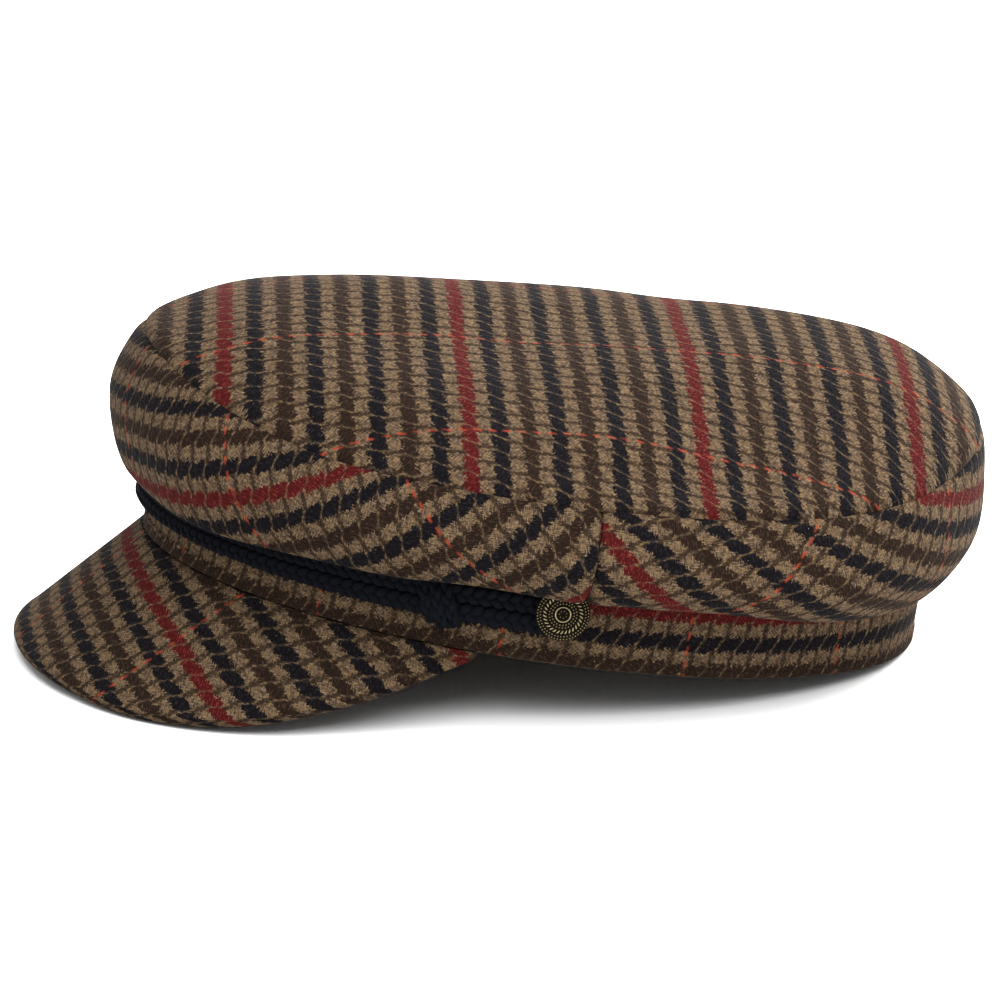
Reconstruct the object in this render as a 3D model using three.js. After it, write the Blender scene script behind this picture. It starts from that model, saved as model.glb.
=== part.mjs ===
// A fisherman cap at its real size, in millimetres, with +Z up.
// It stands as it does when it is put down: on the two lower corners of its
// peak and on the back of its band. The peak points to -X.
//
// Everything is first made in the cap's own frame, where the lower edge of the
// band lies in the plane z = 0 and the middle of the head opening is the origin.
// A direction round the cap is an angle from the front: 0 is the peak, 90 is the
// wearer's left, 180 is the back.

import * as THREE from "three";

// Band: an upright ring of cloth round the head
const bandHalfLength = 102.5;
const bandHalfWidth = 86;
const bandHeight = 30;
const bandThickness = 3;
const bandEdge = 0.6;
const hemHeight = 4.2;
const hemProud = 0.3;

// Cloth of the crown, and the gap that neighbouring pieces keep
const clothThickness = 2;
const gap = 0.3;

// Crown: its section in five directions, the same on both sides.
// out is measured from the outside of the band, up from its lower edge.
// The side panel leaves the band's top, hangs to the roll, fills out to the
// bulge and ends at the top seam. The top panel rises from there over the
// shoulder to the middle.
const crownSections = [
  { angle: 0, rollOut: 5.0, rollUp: 15.6, bulgeOut: 13.5, bulgeUp: 31.0, seamOut: 11.0, seamUp: 52.0,
    shoulderUp: 61.5, slopeUp: 68.0, crestUp: 72.5, innerUp: 75.5 },
  { angle: 45, rollOut: 8.5, rollUp: 14.6, bulgeOut: 16.5, bulgeUp: 31.0, seamOut: 11.0, seamUp: 44.5,
    shoulderUp: 54.5, slopeUp: 62.5, crestUp: 70.5, innerUp: 75.0 },
  { angle: 90, rollOut: 10.0, rollUp: 17.0, bulgeOut: 19.5, bulgeUp: 31.5, seamOut: 13.0, seamUp: 44.5,
    shoulderUp: 50.5, slopeUp: 57.5, crestUp: 67.0, innerUp: 74.5 },
  { angle: 135, rollOut: 6.5, rollUp: 15.0, bulgeOut: 15.5, bulgeUp: 31.5, seamOut: 10.5, seamUp: 48.5,
    shoulderUp: 57.0, slopeUp: 64.0, crestUp: 71.5, innerUp: 76.0 },
  { angle: 180, rollOut: 4.0, rollUp: 14.0, bulgeOut: 11.0, bulgeUp: 33.0, seamOut: 7.0, seamUp: 58.5,
    shoulderUp: 69.0, slopeUp: 74.0, crestUp: 76.0, innerUp: 76.8 },
];
const crownMiddleUp = 77;
// How far out from the middle each height of the top panel is taken
const topStations = { seamUp: 1, shoulderUp: 0.9, slopeUp: 0.75, crestUp: 0.5, innerUp: 0.25 };
const flangeDepth = 2.4;
const flangeCorner = 0.45;

// Peak: a stiff leaf that runs out and down from the band's lower edge.
// share is the part of the way from the middle of the peak to its end.
const peakEndAngle = 75;
const peakFan = 0.59;
const peakThickness = 3.2;
const peakReach = [
  { share: 0.0, reach: 42.0 },
  { share: 0.3, reach: 45.0 },
  { share: 0.55, reach: 46.0 },
  { share: 0.75, reach: 35.5 },
  { share: 0.9, reach: 16.5 },
  { share: 1.0, reach: 3.5 },
];
const peakDrop = { middle: 44, half: 38.5, end: 44 };

// Braid: two soft cords side by side on the band, from button to button
const braidLowerEdge = 7.8;
const braidThickness = 3.2;
const braidHeight = { front: 7.8, side: 10.2 };
const knotAngle = 68.5;
const knotLength = 9.5;
const knotWrap = 1.7;
const knotRounding = 0.6;
const braidCorners = 5;
const braidWaist = 0.88;

// Buttons on the two ends of the braid
const buttonAngle = 86;
const buttonUp = 14.8;
const buttonRadius = 7;
const buttonThickness = 1.5;
const buttonShankRadius = 1.6;
const buttonEdge = 0.4;
const buttonRimWidth = 0.9;
const buttonRimHeight = 0.35;
const buttonSides = 28;

// The cap's pitch when it is put down
const restPitch = THREE.MathUtils.degToRad(9.25);

// Mesh fineness
const crownColumns = 72;
const sideRows = [0, 0.5, 1, 1.3, 1.55, 1.75, 1.9, 2.05, 2.25, 2.6, 3, 3.35, 3.7, 4];
const topRows = [0, 0.35, 0.8, 1.4, 2.2, 3.1, 4.1];
const peakColumns = 44;
const peakRows = [0, 0.12, 0.35, 0.65, 0.9, 1];
const braidColumns = 64;

const radians = THREE.MathUtils.degToRad;

// A value round the cap: a cosine series through the five sections
function roundTheCap(column) {
  const last = crownSections.length - 1;
  const weight = (index) => (index === 0 || index === last ? 0.5 : 1);
  const waves = crownSections.map((_, wave) => {
    let sum = 0;
    crownSections.forEach((section, index) => {
      sum += weight(index) * section[column] * Math.cos((Math.PI * index * wave) / last);
    });
    return (2 / last) * weight(wave) * sum;
  });
  return (angle) => waves.reduce((sum, size, wave) => sum + size * Math.cos(wave * radians(angle)), 0);
}

const sectionAt = Object.fromEntries(
  Object.keys(crownSections[0]).filter((name) => name !== "angle").map((name) => [name, roundTheCap(name)]),
);

// A point beside the band: angle round the cap, distance out from it, height
function besideBand(angle, out, up) {
  const turn = radians(angle);
  const normal = new THREE.Vector2(bandHalfWidth * Math.cos(turn), bandHalfLength * Math.sin(turn)).normalize();
  const x = -bandHalfLength * Math.cos(turn) - out * normal.x;
  const y = -bandHalfWidth * Math.sin(turn) - out * normal.y;
  return new THREE.Vector3(x, y, up);
}

// One smooth curve through points, read at the points' own numbers 0, 1, 2 ...
function smoothCurve(points) {
  const curve = new THREE.SplineCurve(points.map(([x, y]) => new THREE.Vector2(x, y)));
  return (place) => curve.getPoint(place / (points.length - 1));
}

// The side panel's outer face at one angle
function sideColumn(angle) {
  const at = (name) => sectionAt[name](angle);
  const curve = smoothCurve([
    [-flangeDepth, bandHeight + gap],
    [flangeCorner, bandHeight + gap],
    [at("rollOut"), at("rollUp")],
    [at("bulgeOut"), at("bulgeUp")],
    [at("seamOut"), at("seamUp")],
  ]);
  return sideRows.map((place) => {
    const point = curve(place);
    return besideBand(angle, point.x, point.y);
  });
}

// The top panel's outer face at one angle, from the seam to just before the middle
function topColumn(angle) {
  const rim = besideBand(angle, sectionAt.seamOut(angle), 0);
  const points = Object.entries(topStations).map(([name, share]) => [share, sectionAt[name](angle)]);
  points.push([0, crownMiddleUp]);
  const curve = smoothCurve(points);
  return topRows.map((place) => {
    const point = curve(place);
    return new THREE.Vector3(rim.x * point.x, rim.y * point.x, point.y);
  });
}

// Normals of a grid of points, grid[row][column], pointing away from the inside
function gridNormals(grid, closed) {
  const rows = grid.length;
  const columns = grid[0].length;
  const pick = (index, count) => (closed ? (index + count) % count : Math.min(Math.max(index, 0), count - 1));
  return grid.map((row, i) => row.map((_, j) => {
    const along = grid[Math.min(i + 1, rows - 1)][j].clone().sub(grid[Math.max(i - 1, 0)][j]);
    const across = row[pick(j + 1, columns)].clone().sub(row[pick(j - 1, columns)]);
    return across.cross(along).normalize();
  }));
}

function offsetGrid(grid, normals, distance) {
  return grid.map((row, i) => row.map((point, j) => point.clone().addScaledVector(normals[i][j], distance)));
}

// Draw one edge of a piece back from its neighbour: edge points move towards the next row inside
function drawBack(edge, inside, distance) {
  return edge.map((point, j) => {
    const way = inside[j].clone().sub(point).normalize();
    return point.clone().addScaledVector(way, distance);
  });
}

// A closed body from vertices and faces; its faces are turned to point outward
function closedBody(points, faces) {
  const volume = faces.reduce((sum, [a, b, c]) => {
    return sum + points[a].dot(new THREE.Vector3().crossVectors(points[b], points[c]));
  }, 0);
  const turned = volume < 0 ? faces.map(([a, b, c]) => [a, c, b]) : faces;
  const geometry = new THREE.BufferGeometry().setFromPoints(points);
  geometry.setIndex(turned.flat());
  geometry.computeVertexNormals();
  return geometry;
}

// A wall between two grids of points of the same size.
// closed joins the last column to the first; middle closes the last rows at two points.
function wallBody(outer, inner, { closed = false, middle = null } = {}) {
  const rows = outer.length;
  const columns = outer[0].length;
  const points = [...outer.flat(), ...inner.flat()];
  const faces = [];
  const place = (side, i, j) => side * rows * columns + i * columns + (j % columns);
  const quad = (a, b, c, d) => faces.push([a, b, c], [a, c, d]);
  const spans = closed ? columns : columns - 1;
  for (let i = 0; i < rows - 1; i += 1) {
    for (let j = 0; j < spans; j += 1) {
      quad(place(0, i, j), place(0, i, j + 1), place(0, i + 1, j + 1), place(0, i + 1, j));
      quad(place(1, i, j), place(1, i + 1, j), place(1, i + 1, j + 1), place(1, i, j + 1));
    }
  }
  for (let j = 0; j < spans; j += 1) {
    quad(place(0, 0, j), place(1, 0, j), place(1, 0, j + 1), place(0, 0, j + 1));
    if (!middle) {
      quad(place(0, rows - 1, j), place(0, rows - 1, j + 1), place(1, rows - 1, j + 1), place(1, rows - 1, j));
    }
  }
  if (middle) {
    middle.forEach((point, side) => {
      points.push(point);
      for (let j = 0; j < spans; j += 1) {
        const ring = [place(side, rows - 1, j), place(side, rows - 1, j + 1)];
        faces.push([ring[side], ring[1 - side], points.length - 1]);
      }
    });
  }
  if (!closed) {
    for (let i = 0; i < rows - 1; i += 1) {
      quad(place(0, i, 0), place(0, i + 1, 0), place(1, i + 1, 0), place(1, i, 0));
      quad(place(0, i, spans), place(1, i, spans), place(1, i + 1, spans), place(0, i + 1, spans));
    }
  }
  return closedBody(points, faces);
}

// A closed section carried along a row of places: loops[place][corner]
function loftBody(loops, closed) {
  const count = loops.length;
  const corners = loops[0].length;
  const points = loops.flat();
  const faces = [];
  const place = (i, j) => (i % count) * corners + (j % corners);
  const spans = closed ? count : count - 1;
  for (let i = 0; i < spans; i += 1) {
    for (let j = 0; j < corners; j += 1) {
      faces.push([place(i, j), place(i + 1, j), place(i + 1, j + 1)]);
      faces.push([place(i, j), place(i + 1, j + 1), place(i, j + 1)]);
    }
  }
  if (!closed) {
    [0, count - 1].forEach((end) => {
      for (let j = 1; j < corners - 1; j += 1) {
        const face = [place(end, 0), place(end, j), place(end, j + 1)];
        faces.push(end === 0 ? face : face.reverse());
      }
    });
  }
  return closedBody(points, faces);
}

// Colours and finishes
const materials = {
  tweed: new THREE.MeshStandardMaterial({ color: 0x5c4c3b, roughness: 0.95, metalness: 0 }),
  cord: new THREE.MeshStandardMaterial({ color: 0x12141c, roughness: 0.9, metalness: 0 }),
  bronze: new THREE.MeshStandardMaterial({ color: 0x8a7a4e, roughness: 0.4, metalness: 1 }),
};

function piece(name, geometry, material) {
  const mesh = new THREE.Mesh(geometry, material);
  mesh.name = name;
  return mesh;
}

// The crown's outer face as one grid, so that both sides of the top seam share their normals
function crownFaces() {
  const angles = Array.from({ length: crownColumns }, (_, j) => (360 * j) / crownColumns);
  const columns = angles.map((angle) => [...sideColumn(angle), ...topColumn(angle).slice(1)]);
  const outer = columns[0].map((_, i) => columns.map((column) => column[i]));
  const inner = offsetGrid(outer, gridNormals(outer, true), -clothThickness);
  return { outer, inner };
}

function crownTop({ outer, inner }) {
  const seamRow = sideRows.length - 1;
  const panel = (grid) => {
    const rows = grid.slice(seamRow);
    return [drawBack(rows[0], rows[1], gap / 2), ...rows.slice(1)];
  };
  const middle = [crownMiddleUp, crownMiddleUp - clothThickness].map((up) => new THREE.Vector3(0, 0, up));
  return wallBody(panel(outer), panel(inner), { closed: true, middle });
}

// One side panel: half of the way round, with its two upright seams at the sides of the head
function crownSide({ outer, inner }, firstAngle) {
  const seamRow = sideRows.length - 1;
  const start = Math.round((firstAngle / 360) * crownColumns);
  const panel = (grid) => {
    const rows = grid.slice(0, seamRow + 1);
    rows[seamRow] = drawBack(rows[seamRow], rows[seamRow - 1], gap / 2);
    const half = rows.map((row) => {
      return Array.from({ length: crownColumns / 2 + 1 }, (_, j) => row[(start + j) % crownColumns].clone());
    });
    half.forEach((row) => {
      const end = row.length - 1;
      [[0, 1], [end, end - 1]].forEach(([edge, next]) => {
        const way = row[next].clone().sub(row[edge]).normalize();
        row[edge].addScaledVector(way, gap / 2);
      });
    });
    return half;
  };
  return wallBody(panel(outer), panel(inner));
}

function band() {
  const section = [
    [0, bandEdge],
    [-bandEdge, 0],
    [bandEdge - bandThickness, 0],
    [-bandThickness, bandEdge],
    [-bandThickness, bandHeight - bandEdge],
    [bandEdge - bandThickness, bandHeight],
    [-bandEdge, bandHeight],
    [-hemProud, bandHeight - bandEdge],
    [-hemProud, hemHeight + hemProud],
    [0, hemHeight],
  ];
  const loops = Array.from({ length: crownColumns }, (_, j) => {
    return section.map(([out, up]) => besideBand((360 * j) / crownColumns, out, up));
  });
  return loftBody(loops, true);
}

// How far the peak reaches at a share of the way from its middle to its end,
// on a smooth curve through the rows of its table
function reachAt(share) {
  const rows = peakReach;
  const next = Math.max(1, rows.findIndex((row) => row.share >= share - 1e-9));
  const slope = (k) => {
    const from = rows[Math.max(k - 1, 0)];
    const to = rows[Math.min(k + 1, rows.length - 1)];
    return k === 0 ? 0 : (to.reach - from.reach) / (to.share - from.share);
  };
  const [a, b] = [rows[next - 1], rows[next]];
  const span = b.share - a.share;
  const t = (share - a.share) / span;
  const startPart = (1 + 2 * t) * (1 - t) ** 2 * a.reach + t * (1 - t) ** 2 * span * slope(next - 1);
  const endPart = t * t * (3 - 2 * t) * b.reach + t * t * (t - 1) * span * slope(next);
  return startPart + endPart;
}

// The direction in which the peak leaves the band at a share of the way to its end
function peakWay(share) {
  const { middle, half, end } = peakDrop;
  const drop = radians(middle + (half - middle) * share ** 2 + (end - half) * share ** 4);
  const turn = radians(peakFan * peakEndAngle * share);
  return new THREE.Vector3(
    -Math.cos(drop) * Math.cos(turn),
    -Math.cos(drop) * Math.sin(turn),
    -Math.sin(drop),
  );
}

function peak() {
  const shares = Array.from({ length: peakColumns + 1 }, (_, j) => (2 * j) / peakColumns - 1);
  const root = shares.map((share) => besideBand(share * peakEndAngle, -bandThickness + bandEdge, -gap));
  const leaf = peakRows.map((place) => shares.map((share) => {
    const start = besideBand(share * peakEndAngle, 0, -gap);
    return start.addScaledVector(peakWay(share), place * reachAt(Math.abs(share)));
  }));
  const upper = [root, ...leaf];
  const lower = offsetGrid(upper, gridNormals(upper, false), peakThickness);
  return wallBody(upper, lower);
}

// The braid's height and the height of its middle at an angle
function braidAt(angle) {
  const share = Math.sin(radians(angle)) ** 2;
  const height = braidHeight.front + (braidHeight.side - braidHeight.front) * share;
  return { height, middle: braidLowerEdge + height / 2 };
}

// A section round the two cords of the braid, drawn in a little between them.
// Its first half faces out and its second half lies against the band. proud
// moves the outer half away from the cords, for what is wrapped round them.
function braidSection(angle, proud) {
  const { height, middle } = braidAt(angle);
  const depth = braidThickness / 2;
  const points = [];
  [1, -1].forEach((side) => {
    for (let corner = 0; corner < braidCorners; corner += 1) {
      const turn = (Math.PI * (corner + 0.5)) / braidCorners;
      const across = side * Math.sin(turn);
      const along = side * Math.cos(turn);
      const waist = corner === (braidCorners - 1) / 2 ? braidWaist : 1;
      const out = gap + depth + across * depth * waist + (side > 0 ? proud : 0);
      points.push(besideBand(angle, out, middle + along * (height / 2 + proud)));
    }
  });
  return points;
}

// The angle that a length along the band takes up near its sides
function angleOfLength(length) {
  return THREE.MathUtils.radToDeg(length / bandHalfLength);
}

// The braid ends on both sides just before the shank of its button
function braid() {
  const end = buttonAngle - angleOfLength(buttonShankRadius + gap);
  const loops = Array.from({ length: braidColumns + 1 }, (_, j) => {
    return braidSection(end * ((2 * j) / braidColumns - 1), 0);
  });
  return loftBody(loops, false);
}

// A wrap over the braid: a strip bent round the outside of its section
function knot(side) {
  const half = angleOfLength(knotLength / 2);
  const places = [-1, -0.75, -0.25, 0.25, 0.75, 1];
  const strips = [gap, gap + knotWrap].map((proud) => places.map((place) => {
    const swell = proud > gap ? proud * Math.sqrt(1 - knotRounding * place * place) : proud;
    return braidSection(side * (knotAngle + place * half), swell).slice(0, braidCorners);
  }));
  return wallBody(strips[1], strips[0]);
}

// A button: a shallow dish with a raised rim on a short shank that meets the band
function button(side) {
  const back = braidThickness + gap;
  const front = back + buttonThickness;
  const rimInside = buttonRadius - buttonRimWidth;
  const profile = [
    [0, 0],
    [buttonShankRadius, 0],
    [buttonShankRadius, back],
    [buttonRadius - buttonEdge, back],
    [buttonRadius, back + buttonEdge],
    [buttonRadius, front - buttonEdge],
    [buttonRadius - buttonEdge, front],
    [rimInside, front],
    [rimInside - buttonRimHeight, front - buttonRimHeight],
    [0, front - buttonRimHeight / 2],
  ];
  const geometry = new THREE.LatheGeometry(profile.map(([x, y]) => new THREE.Vector2(x, y)), buttonSides);
  const foot = besideBand(side * buttonAngle, gap, buttonUp);
  const head = besideBand(side * buttonAngle, gap + 1, buttonUp);
  const mesh = piece(side > 0 ? "button_left" : "button_right", geometry, materials.bronze);
  mesh.position.copy(foot);
  mesh.quaternion.setFromUnitVectors(new THREE.Vector3(0, 1, 0), head.sub(foot).normalize());
  return mesh;
}

// The cap in its own frame
const faces = crownFaces();
const cap = new THREE.Group();
cap.add(
  piece("crown_top", crownTop(faces), materials.tweed),
  piece("crown_front", crownSide(faces, 270), materials.tweed),
  piece("crown_rear", crownSide(faces, 90), materials.tweed),
  piece("band", band(), materials.tweed),
  piece("peak", peak(), materials.tweed),
  piece("braid", braid(), materials.cord),
  piece("knot_left", knot(1), materials.cord),
  piece("knot_right", knot(-1), materials.cord),
  button(1),
  button(-1),
);

// Put down: pitched with its front up, its lowest points on z = 0, centred over the origin
cap.rotation.y = restPitch;
cap.updateMatrixWorld(true);
const extent = new THREE.Box3().setFromObject(cap, true);
cap.position.set(
  -(extent.min.x + extent.max.x) / 2,
  -(extent.min.y + extent.max.y) / 2,
  -extent.min.z,
);

const fishermanCap = new THREE.Group();
fishermanCap.add(cap);

export default fishermanCap;
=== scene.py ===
# %% [markdown]
# # A fisherman cap in brushed wool tweed
#
# The real cap is sewn from five pieces of houndstooth tweed: an oval top, two
# side panels, a low band and a stiff peak. Two plaited cords run round the front
# of the band, each side is tied with a knot, and a metal button holds each end.
#
# This lesson dresses the plain solids of that cap. They come first, because every
# piece made here has to sit where its solid is.

# %% Load the fixed solids
import math

import bmesh
import bpy
import numpy as np
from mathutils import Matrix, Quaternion, Vector, noise


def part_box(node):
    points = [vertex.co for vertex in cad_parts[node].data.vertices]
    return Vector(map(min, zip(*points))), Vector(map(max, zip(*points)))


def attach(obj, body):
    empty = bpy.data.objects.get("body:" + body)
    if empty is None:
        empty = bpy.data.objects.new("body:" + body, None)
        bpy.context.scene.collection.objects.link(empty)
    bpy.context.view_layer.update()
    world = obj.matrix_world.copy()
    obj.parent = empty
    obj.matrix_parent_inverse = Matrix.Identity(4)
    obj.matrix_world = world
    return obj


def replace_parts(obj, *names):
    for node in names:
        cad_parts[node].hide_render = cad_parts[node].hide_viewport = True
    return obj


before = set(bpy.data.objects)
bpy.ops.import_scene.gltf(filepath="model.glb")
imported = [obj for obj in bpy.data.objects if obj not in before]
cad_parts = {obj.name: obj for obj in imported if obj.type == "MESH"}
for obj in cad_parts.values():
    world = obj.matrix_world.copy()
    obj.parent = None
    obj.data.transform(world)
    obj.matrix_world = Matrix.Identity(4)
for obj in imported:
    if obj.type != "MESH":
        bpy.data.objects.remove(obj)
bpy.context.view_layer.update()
print("solids:", sorted(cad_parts))

# %% [markdown]
# ## The cap's own frame
#
# A cap is easiest to describe upright: the lower edge of the band lies flat, the
# middle of the head opening is the origin, and a direction round the cap is an
# angle, 0 at the peak, 90 at the wearer's left and 180 at the back. Sizes are in
# millimetres there, because that is how a hatter measures.
#
# Put down on a table, the cap rests on its peak and on the back of its band. So
# every point is pitched and then moved. How far is read from the solid band: the
# same ring, made here, has to fall into the same box.

# %% From the cap's frame to the table
MM = 0.001
BAND_LENGTH = 102.5
BAND_WIDTH = 86.0
BAND_HEIGHT = 30.0
BAND_THICKNESS = 3.0
BAND_EDGE = 0.6
REST_PITCH = math.radians(9.25)


def beside_band(angle, out, up):
    """Points beside the band: degrees round the cap, distance out from it, height."""
    turn = np.radians(angle)
    across = BAND_WIDTH * np.cos(turn)
    along = BAND_LENGTH * np.sin(turn)
    length = np.hypot(across, along)
    x = -BAND_LENGTH * np.cos(turn) - out * across / length
    y = -BAND_WIDTH * np.sin(turn) - out * along / length
    return np.stack(np.broadcast_arrays(x, y, up), axis=-1)


def outward_at(angle):
    """The level way straight out from the band."""
    return beside_band(angle, 1.0, 0.0) - beside_band(angle, 0.0, 0.0)


def pitched(points):
    """The cap's frame turned to its resting attitude, in metres."""
    x, y, z = np.moveaxis(np.asarray(points, float), -1, 0)
    lean, stand = math.sin(REST_PITCH), math.cos(REST_PITCH)
    return MM * np.stack([x * stand + z * lean, y, z * stand - x * lean], axis=-1)


ring = np.concatenate([
    pitched(beside_band(np.arange(0, 360, 5), out, up))
    for out, up in [(0, BAND_EDGE), (-BAND_EDGE, 0), (-BAND_EDGE, BAND_HEIGHT)]
])
TABLE_SHIFT = np.array(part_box("band")[0]) - ring.min(axis=0)


def placed(points):
    """Points of the cap's frame where they are on the table."""
    return pitched(points) + TABLE_SHIFT


print("the cap is moved by", (TABLE_SHIFT / MM).round(2), "mm")

# %% [markdown]
# ## The camera
#
# The cap is seen from its left side, a little from the front, from 15 degrees
# above the table. A long lens from far away keeps the ellipses of the band and
# the crown as flat as they are in a catalogue photograph. The camera is turned by
# a third of a degree about its view, as one on a stand often is.

# %% Camera
FROM_FRONT = math.radians(8.57)
FROM_ABOVE = math.radians(15.24)
CAMERA_DISTANCE = 3.4
CAMERA_ROLL = math.radians(0.3)
PIXELS_PER_METRE = 3812
PICTURE_SIZE = 1000
SENSOR = 36
FAR_CLIP = 50
# Where the frame's origin falls in the picture, from its middle, in pixels
ORIGIN_LEFT = 4.2
ORIGIN_DOWN = 139.9

away = Vector((
    -math.sin(FROM_FRONT) * math.cos(FROM_ABOVE),
    -math.cos(FROM_FRONT) * math.cos(FROM_ABOVE),
    math.sin(FROM_ABOVE),
))
picture_right = Vector((math.cos(FROM_FRONT), -math.sin(FROM_FRONT), 0))
picture_up = away.cross(picture_right)
aim = (picture_right * ORIGIN_LEFT + picture_up * ORIGIN_DOWN) / PIXELS_PER_METRE

camera_data = bpy.data.cameras.new("camera")
camera_data.sensor_width = SENSOR
camera_data.lens = SENSOR * PIXELS_PER_METRE * CAMERA_DISTANCE / PICTURE_SIZE
camera_data.clip_end = FAR_CLIP
camera = bpy.data.objects.new("camera", camera_data)
camera.location = aim + away * CAMERA_DISTANCE
roll = Quaternion((0, 0, 1), CAMERA_ROLL)
camera.rotation_euler = (away.to_track_quat("Z", "Y") @ roll).to_euler()
bpy.context.scene.collection.objects.link(camera)
bpy.context.scene.camera = camera
print("lens", round(camera_data.lens), "mm")

# %% [markdown]
# ## Table and light
#
# The cap stands on a white table. A wide, soft lamp hangs over it on the camera's
# side, a smaller one stands behind and lights the far edge of the crown and the
# back, and a faint glow comes from all round. Lamps much larger than the cap give
# no hard shadow, only a dark line where the cap meets the table. The table is lit
# just past white, so that it runs into the background without a horizon.

# %% Table
TABLE_SIZE = 9.0
TABLE_FINISH = {"Base Color": (0.9, 0.9, 0.9, 1), "Roughness": 1, "Specular IOR Level": 0}

half = TABLE_SIZE / 2
table_corners = [(-half, -half, 0), (half, -half, 0), (half, half, 0), (-half, half, 0)]
table_mesh = bpy.data.meshes.new("table")
table_mesh.from_pydata(table_corners, [], [(0, 1, 2, 3)])
table = bpy.data.objects.new("table", table_mesh)
bpy.context.scene.collection.objects.link(table)
table_white = bpy.data.materials.new("table_white")
table_white.use_nodes = True
for name, value in TABLE_FINISH.items():
    table_white.node_tree.nodes["Principled BSDF"].inputs[name].default_value = value
table_mesh.materials.append(table_white)
print("table:", TABLE_SIZE, "m each way")

# %% Lamps and glow
LAMPS = {
    "lamp_above": {"at": (0.25, -0.85, 1.7), "size": 2.4, "power": 112},
    "lamp_behind": {"at": (0.95, 1.15, 0.85), "size": 1.2, "power": 92},
}
GLOW = 0.85

for name, lamp in LAMPS.items():
    lamp_data = bpy.data.lights.new(name, "AREA")
    lamp_data.size = lamp["size"]
    lamp_data.energy = lamp["power"]
    lamp_object = bpy.data.objects.new(name, lamp_data)
    lamp_object.location = lamp["at"]
    lamp_object.rotation_euler = Vector(lamp["at"]).to_track_quat("Z", "Y").to_euler()
    bpy.context.scene.collection.objects.link(lamp_object)
    print(name, "-", lamp["power"], "W,", lamp["size"], "m across")

world = bpy.data.worlds.new("glow")
world.use_nodes = True
world.node_tree.nodes["Background"].inputs["Color"].default_value = (1, 1, 1, 1)
world.node_tree.nodes["Background"].inputs["Strength"].default_value = GLOW
bpy.context.scene.world = world
bpy.context.scene.view_settings.view_transform = "Standard"

# %% [markdown]
# ## Shader sums as plain Python
#
# A weave is arithmetic: which yarn is this, is it a dark one, does the weft pass
# over it. Written as nodes that is a wall of boxes, so a small class wraps what
# comes out of a socket, and ordinary Python operators add the Math nodes.

# %% A class for what comes out of a socket
class Signal:
    """One output socket, ready to be used in sums."""

    def __init__(self, tree, socket):
        self.tree = tree
        self.socket = socket

    def math(self, operation, *values):
        inputs = dict(enumerate(values))
        return add_node(self.tree, "ShaderNodeMath", {"operation": operation}, inputs)

    def __add__(self, other):
        return self.math("ADD", self, other)

    def __sub__(self, other):
        return self.math("SUBTRACT", self, other)

    def __mul__(self, other):
        return self.math("MULTIPLY", self, other)

    def __truediv__(self, other):
        return self.math("DIVIDE", self, other)

    def __rsub__(self, other):
        return self.math("SUBTRACT", other, self)


def add_node(tree, kind, settings=(), inputs=(), output=0):
    """Adds a node: its settings come first, then the values or links of its sockets."""
    node = tree.nodes.new(kind)
    for name, value in dict(settings).items():
        setattr(node, name, value)
    for name, value in dict(inputs).items():
        if isinstance(value, Signal):
            tree.links.new(value.socket, node.inputs[name])
        else:
            node.inputs[name].default_value = value
    return Signal(tree, node.outputs[output])


# %% Helpers for the sums
def whole(value):
    """The nearest whole number."""
    return value.math("ROUND", value)


def magnitude(value):
    """The value without its sign."""
    return value.math("ABSOLUTE", value)


def fraction(value):
    """What is left above the whole number below."""
    return value.math("FRACT", value)


def remainder(value, divisor):
    """What is left after dividing, from 0 up to the divisor."""
    return value.math("FLOORED_MODULO", value, divisor)


def wave(value):
    """A cosine of the value, once up and down for each whole number, from 0 to 1."""
    return value.math("COSINE", value * (2 * math.pi)) * 0.5 + 0.5


def larger(one, other):
    return one.math("MAXIMUM", one, other)


def step(value, low, high):
    """0 below low, 1 above high, and smooth between them."""
    settings = {"interpolation_type": "SMOOTHSTEP"}
    inputs = {"Value": value, "From Min": low, "From Max": high}
    return add_node(value.tree, "ShaderNodeMapRange", settings, inputs)


def grain(across, along, detail=2.0, roughness=0.6):
    """Noise around 0.5 over two coordinates, where a number is about one lump."""
    place = add_node(across.tree, "ShaderNodeCombineXYZ", (), {0: across, 1: along})
    inputs = {"Vector": place, "Scale": 1.0, "Detail": detail, "Roughness": roughness}
    return add_node(across.tree, "ShaderNodeTexNoise", {"noise_dimensions": "2D"}, inputs)


# %% Helpers for colours and materials
def full_colour(colour):
    """A colour as the Mix node takes it: a link, or three numbers and an alpha of 1."""
    return colour if isinstance(colour, Signal) else (*colour, 1)


def mix(factor, one, other):
    """Two colours mixed: one where the factor is 0, the other where it is 1."""
    inputs = {0: factor, 6: full_colour(one), 7: full_colour(other)}
    return add_node(factor.tree, "ShaderNodeMix", {"data_type": "RGBA"}, inputs, 2)


def map_parts(tree, name):
    """The two coordinates of a UV map."""
    place = add_node(tree, "ShaderNodeUVMap", {"uv_map": name})
    return [add_node(tree, "ShaderNodeSeparateXYZ", (), {0: place}, axis) for axis in (0, 1)]


def new_material(name):
    """A material with an empty Principled shader, and its tree."""
    material = bpy.data.materials.new(name)
    material.use_nodes = True
    return material, material.node_tree


def finish_material(tree, colour, height, depth, **plain):
    """Feeds colour and relief into the shader; what is the same all over is set on it."""
    shader = tree.nodes["Principled BSDF"]
    tree.links.new(colour.socket, shader.inputs["Base Color"])
    bump = add_node(tree, "ShaderNodeBump", (), {"Height": height, "Distance": depth, "Strength": 1.0})
    tree.links.new(bump.socket, shader.inputs["Normal"])
    for name, value in plain.items():
        shader.inputs[name.replace("_", " ")].default_value = value


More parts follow.
